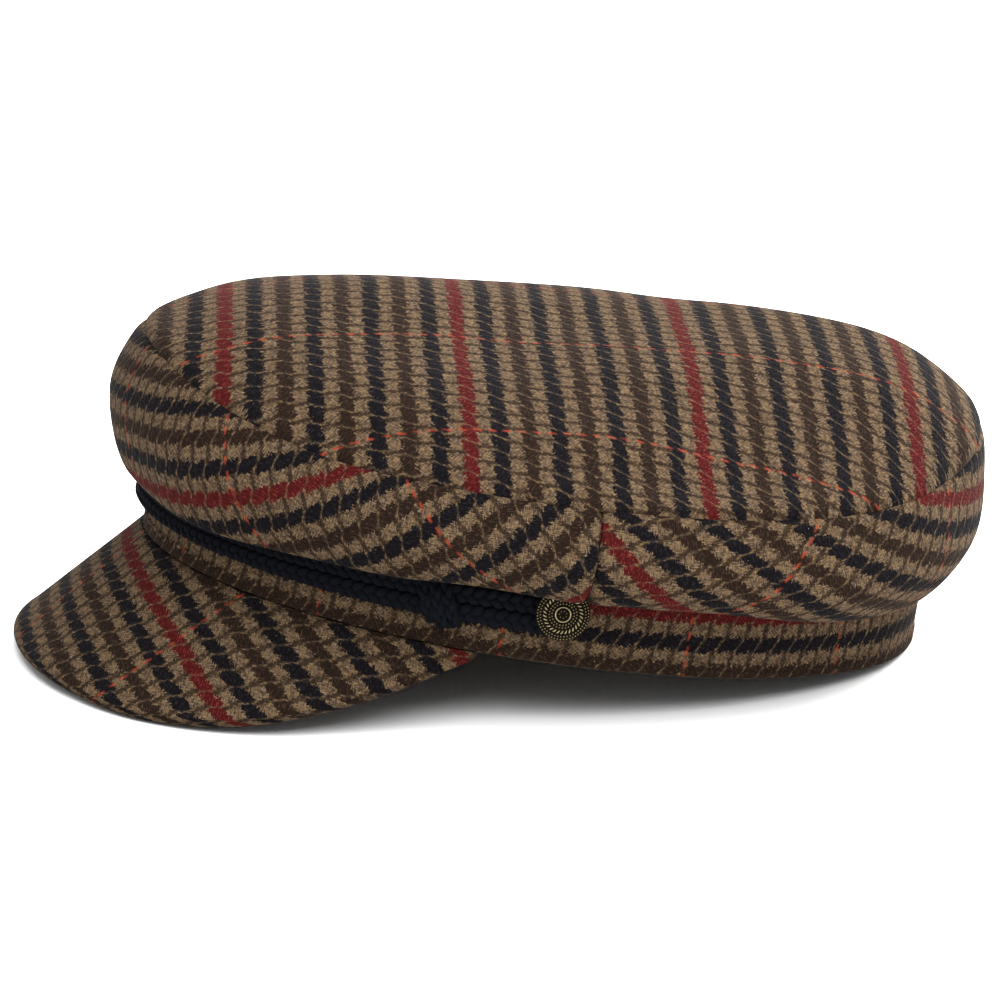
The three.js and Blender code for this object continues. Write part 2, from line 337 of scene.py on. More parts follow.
# %% [markdown]
# ## Tweed
#
# The cloth is a 2/2 twill. Its warp has four dark yarns, then four tan ones, and
# the dark fours go through eight colours: red, then navy and brown in turn. The
# weft cuts the dark stripes into blocks: once in each cell it shows as a thin
# slanting slash, tan where it crosses a dark stripe. Across the tan stripes a thin
# dark line is painted in: painted shadow in the gaps between the weft floats.
# That slant is what makes houndstooth of a check. About every 49 mm one orange
# pick runs across the cloth in dashes.
#
# The pattern is worked out from fabric coordinates, which each piece carries in a
# UV map named cloth: across the stripes and along them, in metres of real cloth.
#
# The wool comes first, because everything else is frayed by it. Brushed fibres lie
# in short strands that lean both ways, as the twill pulls them, and the cloth is
# softer and lighter in patches. Both are noise, stretched along the strands.

# %% The wool: crossing strands and soft patches
YARN = 0.00094
YARNS_IN_CELL = 6
CELL = YARNS_IN_CELL * YARN
# Lumps of the noises to a yarn or a cell
STRAND_LONG = 0.45
STRAND_FINE = 1.8
STRAND_DETAIL = 3.0
PATCH_ACROSS = 0.45
PATCH_ALONG = 2.4
FRAY = 0.6
# Each noise is read from a place of its own, so that no two are alike
FALLING_FROM = 50.0
PATCHES_FROM = 31.0


class Wool:
    """The brushed nap at a place in the cloth, each part of it around 0.5."""

    def __init__(self, across, along):
        rising = across + along * YARNS_IN_CELL
        falling = across - along * YARNS_IN_CELL
        self.rising = grain(rising * STRAND_LONG, falling * STRAND_FINE, STRAND_DETAIL)
        self.falling = grain(rising * STRAND_FINE + FALLING_FROM, falling * STRAND_LONG, STRAND_DETAIL)
        self.strands = (self.rising + self.falling) * 0.5
        self.patches = grain(across * PATCH_ACROSS + PATCHES_FROM, along * PATCH_ALONG)
        self.fray = (self.strands - 0.5) * FRAY


print("a yarn is", YARN / MM, "mm and a cell", round(CELL / MM, 2), "mm")

# %% [markdown]
# ### Stripes, slashes and shadow lines
#
# The weave is three masks. The dark one says where a dark stripe is, by the
# distance from the stripe's middle. The light slash is where a tan weft cuts a dark
# stripe, and the shadow line is painted shadow across the tan ground, in the gaps
# between the weft floats. Each edge is a smooth step, so it keeps its softness close up.

# %% The weave: three masks
STRIPE_YARNS = 4
PAIR_YARNS = 2 * STRIPE_YARNS
SLASH_LEAN = 0.34
SHADOW_LINE_LEAN = 0.2
WANDER = {"lumps_across": 0.16, "lumps_along": 0.7, "yarns": 1.3}
PATCHES_MOVE = {"yarns": 1.2, "slash": 0.10}
TOOTH = 0.15
NAVY_WIDER = 0.02
CORNER_WIDER = 0.06
CORNER_LIGHTER = 0.2
# The low and the high end of each smooth step
DARK_EDGE = (0.228, 0.305)
CORNER_EDGE = (0.10, 0.25)
SLASH_EDGE = (0.005, 0.085)
SHADOW_LINE_EDGE = (0.07, 0.21)
TAN_MIDDLE = (0.30, 0.46)
STANDING_FIBRES = (0.43, 0.59)
LIGHT_PATCHES = (0.38, 0.62)


class Weave:
    """Where the dark stripes, the light slashes and the painted shadow lines lie."""

    def __init__(self, across, along, wool):
        # Yarns wander a little, so the stripes are never quite straight
        wander = grain(across * WANDER["lumps_across"], along * WANDER["lumps_along"]) - 0.5
        patch = wool.patches - 0.5
        self.yarns = across + (wander * WANDER["yarns"] + patch * PATCHES_MOVE["yarns"])
        self.slash = along + self.yarns * (SLASH_LEAN / STRIPE_YARNS) + patch * PATCHES_MOVE["slash"]
        self.pair = self.yarns / PAIR_YARNS
        self.stripe = whole(self.pair)
        self.is_navy = remainder(self.stripe, 2)
        # How far from the stripe's middle, as a share of a pair; the navy ones are wider
        tooth = fraction(self.slash) - 0.5
        self.from_middle = magnitude(self.pair - self.stripe + tooth * TOOTH)
        self.dark = 1 - step(self.from_middle + wool.fray - self.is_navy * NAVY_WIDER, *DARK_EDGE)
        self.light_slash = self.light_slashes(wool)
        self.shadow_line = self.shadow_lines(wool)

    def light_slashes(self, wool):
        """Light wefts across a dark stripe: thin, broken here and there, wider at its edges."""
        from_slash = magnitude(self.slash - whole(self.slash))
        corner = step(self.from_middle, *CORNER_EDGE)
        broken = step(wool.falling, *STANDING_FIBRES) * 0.55 + step(wool.patches, *LIGHT_PATCHES) * 0.12
        thin = 1 - step(from_slash + wool.fray - corner * CORNER_WIDER, *SLASH_EDGE)
        return thin * (broken + corner * CORNER_LIGHTER)

    def shadow_lines(self, wool):
        """Painted shadow between the weft floats across the tan ground, nearly level and fainter in its
        middle.
        """
        level = self.slash - (fraction(self.pair) - 0.5) * (2 * SLASH_LEAN - SHADOW_LINE_LEAN)
        from_line = magnitude(level - whole(level))
        line = 1 - step(from_line + wool.fray, *SHADOW_LINE_EDGE)
        return line * (0.95 - step(self.from_middle, *TAN_MIDDLE) * 0.22)


# %% [markdown]
# ### Dyed wool
#
# No yarn is one flat colour, because each is spun from lighter and darker wool. So
# a colour here is always a mix. Tan goes from a shaded brown, which is partly darker
# wool and partly painted shade between the strands, to straw and grey on the strands
# that stand up, and each dark stripe has lighter flecks.

# %% Colours of the yarns
TAN_SHADE = (0.030, 0.0190, 0.0120)
TAN = (0.077, 0.0505, 0.0297)
TAN_STRAW = (0.158, 0.102, 0.045)
TAN_GREY = (0.140, 0.1040, 0.075)
NAVY = (0.0036, 0.0030, 0.0036)
NAVY_LIGHT = (0.0130, 0.0114, 0.0134)
BROWN = (0.0098, 0.0057, 0.0041)
BROWN_LIGHT = (0.034, 0.0210, 0.0140)
RED = (0.032, 0.0040, 0.0038)
RED_LIGHT = (0.112, 0.0168, 0.0152)
STRIPES_TO_RED = 8
# Where in the noise one colour begins to give way to the next, and where it has
SHADE_TO_TAN = (0.35, 0.61)
TAN_TO_BRIGHT = (0.55, 0.78)
GREY_TO_STRAW = (0.35, 0.65)
DARK_TO_FLECK = (0.50, 0.74)


def tan_wool(wool):
    """The tan of the ground, and the lighter tan of the slashes."""
    # The shaded tone is partly darker wool and partly painted shade between the strands, where the nap lies
    # low
    tone = step(wool.strands + (wool.patches - 0.5) * 0.4, *SHADE_TO_TAN)
    bright = step(larger(wool.rising, wool.falling), *TAN_TO_BRIGHT)
    straw = mix(step(wool.patches, *GREY_TO_STRAW), TAN_GREY, TAN_STRAW)
    return mix(bright, mix(tone, TAN_SHADE, TAN), straw), mix(tone, TAN, straw)


def dark_wool(wool, weave):
    """The dark stripes: every eighth is red, the others brown and navy in turn."""
    fleck = step(wool.rising, *DARK_TO_FLECK)
    navy = mix(fleck, NAVY, NAVY_LIGHT)
    brown = mix(fleck, BROWN, BROWN_LIGHT)
    red = mix(fleck, RED, RED_LIGHT)
    is_red = 1 - step(remainder(weave.stripe, STRIPES_TO_RED), 0.4, 0.6)
    return mix(is_red, mix(weave.is_navy, brown, navy), red)


# %% The orange pick
ORANGE = (0.205, 0.031, 0.015)
ORANGE_EVERY = 0.049
DASH_SLANT = 0.0007
PICK_FRAY = 0.0011
PICK_EDGE = (0.0001, 0.0006)
DASH_FRAY = 0.5
DASH_EDGE = (0.16, 0.40)
FAINTEST = 0.4
SUNK_IN_DARK = 0.35


def orange_pick(metres_along, wool, weave):
    """How much orange shows: under two yarns and over two, faint where its wool is thin."""
    pick = metres_along / ORANGE_EVERY
    dash = fraction(weave.yarns / STRIPE_YARNS) - 0.5
    off_pick = (pick - whole(pick)) * ORANGE_EVERY + dash * DASH_SLANT
    on_pick = 1 - step(magnitude(off_pick) + wool.fray * PICK_FRAY, *PICK_EDGE)
    on_dash = 1 - step(magnitude(dash) + wool.fray * DASH_FRAY, *DASH_EDGE)
    thick = step(wool.patches, 0.30, 0.62) * (1 - FAINTEST) + FAINTEST
    return on_pick * on_dash * thick * (1 - weave.dark * SUNK_IN_DARK)


# %% The tweed material
CREAM = (0.22, 0.20, 0.155)
STRAY_EDGE = (0.84, 0.88)
NAP_DEPTH = 0.00018


def tweed_material():
    material, tree = new_material("tweed")
    metres_across, metres_along = map_parts(tree, "cloth")
    across, along = metres_across / YARN, metres_along / CELL
    wool = Wool(across, along)
    weave = Weave(across, along, wool)

    # Tan ground with its thin lines of painted shadow, dark stripes with their tan slashes
    tan, light_tan = tan_wool(wool)
    # The thin brown lines over the tan ground are painted shadow, for the gaps between the weft floats
    ground = mix(weave.shadow_line, tan, BROWN)
    cut_stripes = mix(weave.light_slash, dark_wool(wool, weave), light_tan)
    woven = mix(weave.dark, ground, cut_stripes)
    coloured = mix(orange_pick(metres_along, wool, weave), woven, ORANGE)

    # A few stray white fibres
    stray = step(grain(across * 0.8 + 7.0, along * 9.0 + 3.0, 1.0, 0.5), *STRAY_EDGE)
    coloured = mix(stray * 0.8, coloured, CREAM)

    # Relief: the twill's ridges under a brushed nap
    ridges = wave(weave.slash * 2) * 0.4 + wave(across) * 0.3
    height = ridges + wool.strands * 2.4 + wool.patches * 0.6 - weave.shadow_line * 0.4
    finish_material(
        tree, coloured, height, NAP_DEPTH,
        Roughness=0.95, Specular_IOR_Level=0.015,
        Sheen_Weight=0.036, Sheen_Roughness=0.11, Sheen_Tint=(1.0, 0.96, 0.92, 1),
    )
    return material


TWEED = tweed_material()
print("tweed nodes:", len(TWEED.node_tree.nodes))

# %% [markdown]
# ## Meshes from grids
#
# Every piece is made of grids of points that are closed into a body: a sheet with
# an outside and an inside, rings with a flat face at each end, or rings that close
# to a point. Each point takes its coordinates on the cloth along.

# %% From grids of points to closed bodies
CLOTH = 2.0


def unit(vectors):
    return vectors / np.linalg.norm(vectors, axis=-1, keepdims=True)


def grid_normals(grid, closed):
    """Unit vectors away from the inside at each point of grid[row][column]."""
    along = np.gradient(grid, axis=0)
    if closed:
        across = np.roll(grid, -1, axis=1) - np.roll(grid, 1, axis=1)
    else:
        across = np.gradient(grid, axis=1)
    return unit(np.cross(across, along))


def running_length(grid, axis):
    """Length along the grid's rows or columns, from the first one."""
    steps = np.linalg.norm(np.diff(grid, axis=axis), axis=-1)
    start = np.zeros_like(np.take(steps, [0], axis=axis))
    return np.concatenate([start, np.cumsum(steps, axis=axis)], axis=axis)


def quads(index):
    """Quads between the neighbours of a grid of vertex numbers."""
    corners = [index[:-1, :-1], index[:-1, 1:], index[1:, 1:], index[1:, :-1]]
    return np.stack(corners, axis=-1).reshape(-1, 4).tolist()


def sheet_body(outer, inner, cloth):
    """A sheet with an outside, an inside and four edges."""
    rows, columns = outer.shape[:2]
    above, below = np.arange(2 * rows * columns).reshape(2, rows, columns)
    faces = quads(np.concatenate([above, below[::-1], above[:1]]))
    faces += quads(np.stack([above[:, 0], below[:, 0]], axis=1))
    faces += quads(np.stack([below[:, -1], above[:, -1]], axis=1))
    points = np.concatenate([outer.reshape(-1, 3), inner.reshape(-1, 3)])
    return points, faces, np.concatenate([cloth.reshape(-1, 2)] * 2)


def ring_body(grid, coordinates, round_axis):
    """Closed rings of points, with a flat face at each end; round_axis runs round a ring."""
    index = np.arange(grid.size // 3).reshape(grid.shape[:2])
    faces = quads(np.concatenate([index, np.take(index, [0], round_axis)], round_axis))
    faces.append(np.take(index, 0, 1 - round_axis).tolist())
    faces.append(np.take(index, -1, 1 - round_axis)[::-1].tolist())
    return grid.reshape(-1, 3), faces, coordinates.reshape(-1, 2)


def turned_body(grid, coordinates):
    """Rings of points, closed round and closed at both ends by a point each."""
    rows, columns = grid.shape[:2]
    index = np.arange(rows * columns).reshape(rows, columns)
    faces = quads(np.concatenate([index, index[:, :1]], axis=1))
    for ring, hub in [(index[0], rows * columns), (index[-1][::-1], rows * columns + 1)]:
        faces += [[one, two, hub] for one, two in zip(ring.tolist(), np.roll(ring, -1).tolist())]
    points = np.concatenate([grid.reshape(-1, 3), grid[[0, -1]].mean(axis=1)])
    flat = np.concatenate([coordinates.reshape(-1, 2), coordinates[[0, -1]].mean(axis=1)])
    return points, faces, flat


def joined(bodies):
    """Several bodies as one: their points, their faces and their coordinates."""
    points, faces, coordinates = [], [], []
    first = 0
    for body_points, body_faces, body_coordinates in bodies:
        points.append(body_points)
        coordinates.append(body_coordinates)
        faces += [[first + corner for corner in face] for face in body_faces]
        first += len(body_points)
    return np.concatenate(points), faces, np.concatenate(coordinates)


def new_piece(name, body, map_name, material):
    """An object from a body in the cap's frame, smooth but for its sharp edges."""
    points, faces, coordinates = body
    mesh = bpy.data.meshes.new(name)
    mesh.from_pydata(placed(points).reshape(-1, 3).tolist(), [], faces)
    mesh.validate()
    outwards = bmesh.new()
    outwards.from_mesh(mesh)
    bmesh.ops.recalc_face_normals(outwards, faces=outwards.faces)
    outwards.to_mesh(mesh)
    outwards.free()
    corners = np.empty(len(mesh.loops), dtype=np.int64)
    mesh.loops.foreach_get("vertex_index", corners)
    layer = mesh.uv_layers.new(name=map_name)
    layer.uv.foreach_set("vector", np.asarray(coordinates, np.float32).reshape(-1, 2)[corners].ravel())
    mesh.shade_smooth()
    mesh.set_sharp_from_angle(angle=math.radians(50))
    mesh.materials.append(material)
    piece = bpy.data.objects.new(name, mesh)
    bpy.context.scene.collection.objects.link(piece)
    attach(piece, "root")
    mesh.calc_loop_triangles()
    print(name, "-", len(mesh.loop_triangles), "triangles")
    return piece


# %% [markdown]
# ## The shape of the crown
#
# The crown is a soft drum that overhangs its band. Five sections, from front to
# back, give its shape, and the same numbers serve both sides. Between them each
# number runs on a cosine series, the smoothest way round a closed ring. In each
# direction the side panel hangs from the band's top to a low roll, fills out to a
# bulge and rises to the top seam, and the top panel goes on from there.

# %% Sections of the crown
SECTION_ANGLES = [0, 45, 90, 135, 180]
CROWN = {
    "roll_out": [7.0, 8.5, 10.0, 5.5, 1.25],
    "roll_up": [14.8, 15.6, 20.3, 17.6, 18.2],
    "bulge_out": [14.5, 16.8, 19.5, 16.8, 11.0],
    "bulge_up": [35.3, 30.8, 31.5, 30.3, 37.0],
    "seam_out": [9.0, 11.0, 13.0, 11.0, 8.5],
    "seam_up": [52.8, 45.3, 45.6, 49.3, 58.3],
    "shoulder_up": [59.2, 55.2, 51.9, 58.0, 69.0],
    "slope_up": [65.0, 62.3, 60.0, 65.8, 75.3],
    "crest_up": [72.0, 68.5, 67.8, 72.3, 77.3],
    "inner_up": [74.2, 72.8, 72.6, 74.0, 74.5],
}
MIDDLE_UP = 75.0
TOP_STATIONS = {"seam_up": 1, "shoulder_up": 0.9, "slope_up": 0.75, "crest_up": 0.5, "inner_up": 0.25}
FLANGE_DEPTH = 2.4
FLANGE_CORNER = 0.45
FLANGE_UP = BAND_HEIGHT + 0.3


def crown_value(name, angle):
    """One number of the sections at any angle round the cap."""
    last = len(SECTION_ANGLES) - 1
    weight = np.ones(last + 1)
    weight[[0, -1]] = 0.5
    places = np.arange(last + 1)
    total = np.zeros_like(np.asarray(angle, float))
    for count in places:
        size = 2 / last * weight[count] * np.sum(weight * CROWN[name] * np.cos(np.pi * places * count / last))
        total = total + size * np.cos(count * np.radians(angle))
    return total


def smooth_curve(points, places):
    """A Catmull-Rom curve through points[number], read at places 0 to the last number."""
    points = np.asarray(points, float)
    last = len(points) - 1
    first = np.clip(np.floor(places).astype(int), 0, last - 1)
    t = (places - first).reshape(-1, *[1] * (points.ndim - 1))
    before, start = points[np.maximum(first - 1, 0)], points[first]
    end, after = points[first + 1], points[np.minimum(first + 2, last)]
    leave, arrive = (end - before) / 2, (after - start) / 2
    cubic = 2 * start - 2 * end + leave + arrive
    square = -3 * start + 3 * end - 2 * leave - arrive
    return ((cubic * t + square) * t + leave) * t + start


# %% [markdown]
# One fine grid covers the whole crown, from the band's top up the side, over the
# seam and on to the middle. It is cut into panels only afterwards, so that the
# panels share every point of their seams and no gap can open.

# %% One grid for the whole crown
CROWN_COLUMNS = 288
# A place counts the stations: 0 to 4 climb the side, 4 is the seam and 9 the middle
SIDE_PLACES = np.concatenate([np.linspace(0, 3.4, 46)[:-1], np.linspace(3.4, 4, 19)])
TOP_PLACES = np.concatenate([np.linspace(4, 4.7, 22)[1:-1], np.linspace(4.7, 8.94, 40)])
SEAM_ROW = len(SIDE_PLACES) - 1
# The columns crowd together at the side seams, which lie a little forward of the middle
CROWDING = 0.36
SEAM_FORWARD = math.radians(1.7)

even_turns = np.arange(CROWN_COLUMNS) * 2 * np.pi / CROWN_COLUMNS
angles = even_turns + CROWDING * np.sin(2 * even_turns) - SEAM_FORWARD * np.sin(even_turns)
angles = np.degrees(angles)


def crown_grid():
    at = {name: crown_value(name, angles) for name in CROWN}
    stations = [
        beside_band(angles, -FLANGE_DEPTH, FLANGE_UP),
        beside_band(angles, FLANGE_CORNER, FLANGE_UP),
        beside_band(angles, at["roll_out"], at["roll_up"]),
        beside_band(angles, at["bulge_out"], at["bulge_up"]),
    ]
    rim = beside_band(angles, at["seam_out"], 0.0)
    for name, share in TOP_STATIONS.items():
        stations.append(rim * share + at[name][:, None] * np.array([0.0, 0.0, 1.0]))
    stations.append(rim * 0 + np.array([0.0, 0.0, MIDDLE_UP]))
    return smooth_curve(stations, np.concatenate([SIDE_PLACES, TOP_PLACES]))


bare_crown = crown_grid()
print("crown grid:", bare_crown.shape)

# %% [markdown]
# ## Softness
#
# Wool is never as true as a formula. Along a seam the two layers turn in, which
# leaves a narrow valley with a slight swelling on each side, and the stitches
# draw the cloth into very small puckers. Away from the seams the panels have wide,
# shallow hollows. Each is a small move along the normal: mostly under a
# millimetre, and about two and a half where the side seams meet the top.

# %% Seam valleys, puckers and hollows
VALLEY_DEPTH = 0.35
VALLEY_WIDTH = 1.3
TOP_CREASE = 0.35
SIDE_CREASE = 1.1
CREASE_WIDTH = 0.42
SWELL = 0.15
SWELL_AT = 4.2
SWELL_WIDTH = 3.0
PUCKER = 0.08
PUCKER_LENGTH = 6.5
# How far from each seam the puckers reach
TOP_PUCKERED = 9.0
SIDE_PUCKERED = 8.0
HOLLOW = 0.75
HOLLOW_LENGTH = 34.0
# Up from the band's top: the cloth is held fast there, and hollows only above
HELD_FAST = 3.0
HELD_FLAT = 12.0


def bell(distance, width):
    """1 at no distance, and falling smoothly to nothing over a width or two."""
    return np.exp(-((distance / width) ** 2))


def seam_relief(distance, crease_depth):
    """How far a seam moves the cloth at a distance from it: in at the seam, out beside it."""
    valley = -VALLEY_DEPTH * bell(distance, VALLEY_WIDTH)
    crease = -crease_depth * bell(distance, CREASE_WIDTH)
    swell = SWELL * bell(np.abs(distance) - SWELL_AT, SWELL_WIDTH)
    return valley + crease + swell


def lumps(points, length, seed):
    """Smooth noise over points, about -0.5 to 0.5, with lumps of that length."""
    flat = points.reshape(-1, 3) / length
    shift = Vector((seed * 7.3, seed * 3.1, seed * 5.7))
    return np.array([noise.noise(Vector(point) + shift) for point in flat]).reshape(points.shape[:-1])


# %% The softened crown and its inside
def softened_crown(grid):
    from_band = running_length(grid, 0)
    from_seam = from_band - from_band[SEAM_ROW]
    seam_angle = angles[CROWN_COLUMNS // 4]
    side_seam = np.minimum(np.abs(angles - seam_angle), np.abs(angles + seam_angle - 360))
    from_side_seam = np.radians(side_seam) * BAND_LENGTH * np.ones_like(from_band)
    on_side = np.arange(len(grid))[:, None] <= SEAM_ROW
    relief = seam_relief(from_seam, TOP_CREASE)
    relief += np.where(on_side, seam_relief(from_side_seam, SIDE_CREASE), 0)
    near = bell(from_seam, TOP_PUCKERED) + np.where(on_side, bell(from_side_seam, SIDE_PUCKERED), 0)
    relief += 2 * PUCKER * near * lumps(grid, PUCKER_LENGTH, 1)
    hanging = np.clip(from_band / HELD_FLAT, 0, 1)
    relief += 2 * HOLLOW * hanging * lumps(grid, HOLLOW_LENGTH, 2)
    free = np.clip(from_band / HELD_FAST, 0, 1)
    return grid + (relief * free)[..., None] * grid_normals(grid, True)


crown = softened_crown(bare_crown)
crown_inside = crown - CLOTH * grid_normals(bare_crown, True)
moved = np.linalg.norm(crown - bare_crown, axis=-1)
print("the crown's cloth moved by up to", moved.max().round(2), "mm")

# %% [markdown]
# ## Cloth coordinates of the crown
#
# The top panel is cut with its stripes running from side to side, so its stripes
# are counted along the cap and their length is measured over the dome. Sewing
# pulled the real panel a little askew, so its stripes lean, fan out and bow by a
# few degrees.
#
# A side panel is cut flat as a part of a ring, with the stripes straight along its
# middle. Once it is sewn round the crown, the stripes are level at the front and
# the back and climb into the top seam at the sides. The smaller the ring's radius,
# the steeper they climb.

# %% Coordinates of the top and the side panels
TOP_CUT = {"stripe": 93.1, "pick": 30.0, "stretch": 1.0176, "give": 1.0}
TOP_PULL = {"lean": -0.084, "fan": 0.00046, "bow": -0.00059}
SIDE_PANELS = {
    "crown_front": {"first": 270, "radius": 194.0, "turn": 9.1},
    "crown_rear": {"first": 90, "radius": 196.0, "turn": 0.0},
}
SIDE_CUTS = {
    "crown_front": {"stripe": -39.3, "pick": -53.5, "stretch": 1.0, "give": 1.08},
    "crown_rear": {"stripe": -72.3, "pick": 54.4, "stretch": 1.0, "give": 1.0},
}


def cut_from_cloth(across, along, cut):
    """Where a panel was cut from the cloth: its stripes and its picks are moved and scaled."""
    stripes = across * cut["stretch"] + cut["stripe"]
    picks = (along + cut["pick"]) * cut["give"]
    return MM * np.stack(np.broadcast_arrays(stripes, picks), axis=-1)


def top_coordinates(grid):
    """Across is the place along the cap; along is measured over the dome."""
    plan = np.linalg.norm(grid[..., :2], axis=-1)
    steps = np.linalg.norm(np.diff(grid, axis=0), axis=-1)
    rest = np.cumsum(steps[::-1], axis=0)[::-1]
    over = np.concatenate([rest + plan[-1], plan[-1:]])
    stretch = over / np.maximum(plan, 1e-6)
    x, y = grid[..., 0], grid[..., 1]
    pull = TOP_PULL["lean"] * y + TOP_PULL["fan"] * x * y + TOP_PULL["bow"] * y**2
    return cut_from_cloth(x + pull, y * stretch, TOP_CUT)


def side_coordinates(grid, panel, cut):
    """A flat ring part: row 0 is the band's edge, the last row is the top seam."""
    from_band = running_length(grid, 0)
    below_seam = from_band[-1] - from_band
    seam_length = running_length(grid[-1:], 1)[0]
    turn = (seam_length - seam_length[-1] / 2) / panel["radius"]
    ring = panel["radius"] - below_seam
    level, sideways = panel["radius"] - ring * np.cos(turn), ring * np.sin(turn)
    grain_turn = math.radians(panel["turn"])
    across = level * math.cos(grain_turn) + sideways * math.sin(grain_turn)
    along = sideways * math.cos(grain_turn) - level * math.sin(grain_turn)
    return cut_from_cloth(across, along, cut)


# %% The crown's three panels
def crown_top():
    outer, inner = crown[SEAM_ROW:], crown_inside[SEAM_ROW:]
    cloth = top_coordinates(outer)
    # From the middle of the inside out to the seam, and back over the outside
    body = turned_body(np.concatenate([inner[::-1], outer]), np.concatenate([cloth[::-1], cloth]))
    piece = new_piece("top_panel", body, "cloth", TWEED)
    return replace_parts(piece, "crown_top")


def crown_side(node, panel):
    start = round(panel["first"] / 360 * CROWN_COLUMNS)
    columns = (start + np.arange(CROWN_COLUMNS // 2 + 1)) % CROWN_COLUMNS
    rows = slice(0, SEAM_ROW + 1)
    cloth = side_coordinates(bare_crown[rows, columns], panel, SIDE_CUTS[node])
    body = sheet_body(crown[rows, columns], crown_inside[rows, columns], cloth)
    piece = new_piece(node.replace("crown", "side_panel"), body, "cloth", TWEED)
    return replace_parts(piece, node)


crown_top()
for node, panel in SIDE_PANELS.items():
    crown_side(node, panel)

# %% [markdown]
# ## The band
#
# The band is one strip of the same cloth, its stripes running round the head. Its
# lower edge is folded under, which gives a hem a little thicker than the rest with
# a line of stitches just above it. The strip's ends meet in a seam at the back.

# %% Section of the band
HEM_HEIGHT = 4.2
HEM_PROUD = 0.3
HEM_SLOPE = 0.16
FOLD_RADIUS = 1.1
FOLD_TUCK = 0.9
STITCHES = {"above_hem": 0.15, "width": 0.3, "depth": 0.28}


def band_section():
    """Points of the band's section, as out and up: up the outside, then down the inside."""
    ups = np.concatenate([
        np.linspace(0, HEM_HEIGHT - 0.5, 9),
        np.linspace(HEM_HEIGHT - 0.4, HEM_HEIGHT + 0.6, 9),
        np.linspace(HEM_HEIGHT + 1, BAND_HEIGHT, 26),
    ])
    low = np.clip(1 - ups / FOLD_RADIUS, 0, 1)
    fold = FOLD_TUCK * FOLD_RADIUS * (1 - np.sqrt(1 - low**2))
    above_hem = 1 / (1 + np.exp(-(ups - HEM_HEIGHT) / HEM_SLOPE))
    stitches = bell(ups - HEM_HEIGHT - STITCHES["above_hem"], STITCHES["width"])
    out = -fold - HEM_PROUD * above_hem - STITCHES["depth"] * stitches
    outside = np.stack([out, ups], axis=-1)
    inside = [(-BAND_EDGE, BAND_HEIGHT), (-BAND_THICKNESS + BAND_EDGE, BAND_HEIGHT),
              (-BAND_THICKNESS, BAND_HEIGHT - BAND_EDGE), (-BAND_THICKNESS, BAND_HEIGHT / 2),
              (-BAND_THICKNESS, BAND_EDGE), (-BAND_THICKNESS + BAND_EDGE, 0)]
    return np.concatenate([outside, inside])


print("band section:", len(band_section()), "points")

# %% The band's mesh
BAND_COLUMNS = 360
BAND_CUT = {"stripe": -12.7, "pick": -424.0, "stretch": 1.0, "give": 1.0}
BACK_SEAM_SHARE = 0.6
BAND_WAVE = 0.5
BAND_WAVE_LENGTH = 22.0


def band():
    section = band_section()
    turns = 180 + np.linspace(0, 360, BAND_COLUMNS + 1)
    loops = beside_band(turns[:, None], section[None, :, 0], section[None, :, 1])
    length = running_length(beside_band(turns, 0.0, 0.0)[None], 1)[0]
    from_back = np.minimum(length, length[-1] - length)
    soft = BACK_SEAM_SHARE * seam_relief(from_back, TOP_CREASE)[:, None]
    soft = soft + BAND_WAVE * lumps(loops, BAND_WAVE_LENGTH, 3)
    facing = np.clip((section[:, 0] + BAND_THICKNESS) / BAND_THICKNESS, 0, 1)
    loops = loops + (soft * facing)[..., None] * outward_at(turns)[:, None, :]
    around = running_length(section[:, None], 0)[:, 0]
    cloth = cut_from_cloth(BAND_HEIGHT - around[None, :], length[:, None], BAND_CUT)
    # The strip is a body with two flat ends, which meet in the seam at the back
    piece = new_piece("band_cloth", ring_body(loops, cloth, 1), "cloth", TWEED)
    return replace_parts(piece, "band")


band()

# %% [markdown]
# ## The peak
#
# The peak is a stiff board between two layers of cloth. It leaves the band's lower
# edge along a curve and slopes down and out, with the longest reach in front. Laid
# flat its cloth would be a crescent. So the crescent is unrolled here step by step:
# each length along the root stays as long as it is, and each direction keeps its
# angle to the root. The stripes run across that flat crescent, and lean and fan out
# by a degree or two. Towards both ends the board thins out.

# %% Shape of the peak
PEAK_END = 75.0
PEAK_FAN = 0.49
PEAK_THICKNESS = 3.2
PEAK_SHARES = [0.0, 0.3, 0.55, 0.75, 0.9, 1.0]
PEAK_REACH = [43.3, 43.4, 42.3, 34.0, 17.4, 1.6]
PEAK_END_THICKNESS = 1.2
PEAK_DROP = {"middle": 48.5, "half": 37.0, "end": 42.0}
PEAK_COLUMNS = 160
PEAK_ROWS = 44
PEAK_CUT = {"stripe": 6.1, "pick": -2.0, "stretch": 1.08, "give": 0.886}
PEAK_PULL = {"lean": -0.0325, "fan": 0.00093}


def reach_at(share):
    """How far the peak reaches, on a smooth curve through the rows of its table."""
    shares, reach = np.array(PEAK_SHARES), np.array(PEAK_REACH)
    slopes = np.empty(len(shares))
    slopes[0] = 0
    slopes[1:-1] = (reach[2:] - reach[:-2]) / (shares[2:] - shares[:-2])
    slopes[-1] = (reach[-1] - reach[-2]) / (shares[-1] - shares[-2])
    row = np.clip(np.searchsorted(shares, share - 1e-9) - 1, 0, len(shares) - 2)
    span = shares[row + 1] - shares[row]
    t = (share - shares[row]) / span
    start = (1 + 2 * t) * (1 - t) ** 2 * reach[row] + t * (1 - t) ** 2 * span * slopes[row]
    end = t * t * (3 - 2 * t) * reach[row + 1] + t * t * (t - 1) * span * slopes[row + 1]
    return start + end


def peak_way(share):
    """The direction in which the peak leaves the band."""
    drop = PEAK_DROP["middle"] + (PEAK_DROP["half"] - PEAK_DROP["middle"]) * share**2
    drop = np.radians(drop + (PEAK_DROP["end"] - PEAK_DROP["half"]) * share**4)
    turn = np.radians(PEAK_FAN * PEAK_END * share)
    return np.stack([-np.cos(drop) * np.cos(turn), -np.cos(drop) * np.sin(turn), -np.sin(drop)], axis=-1)


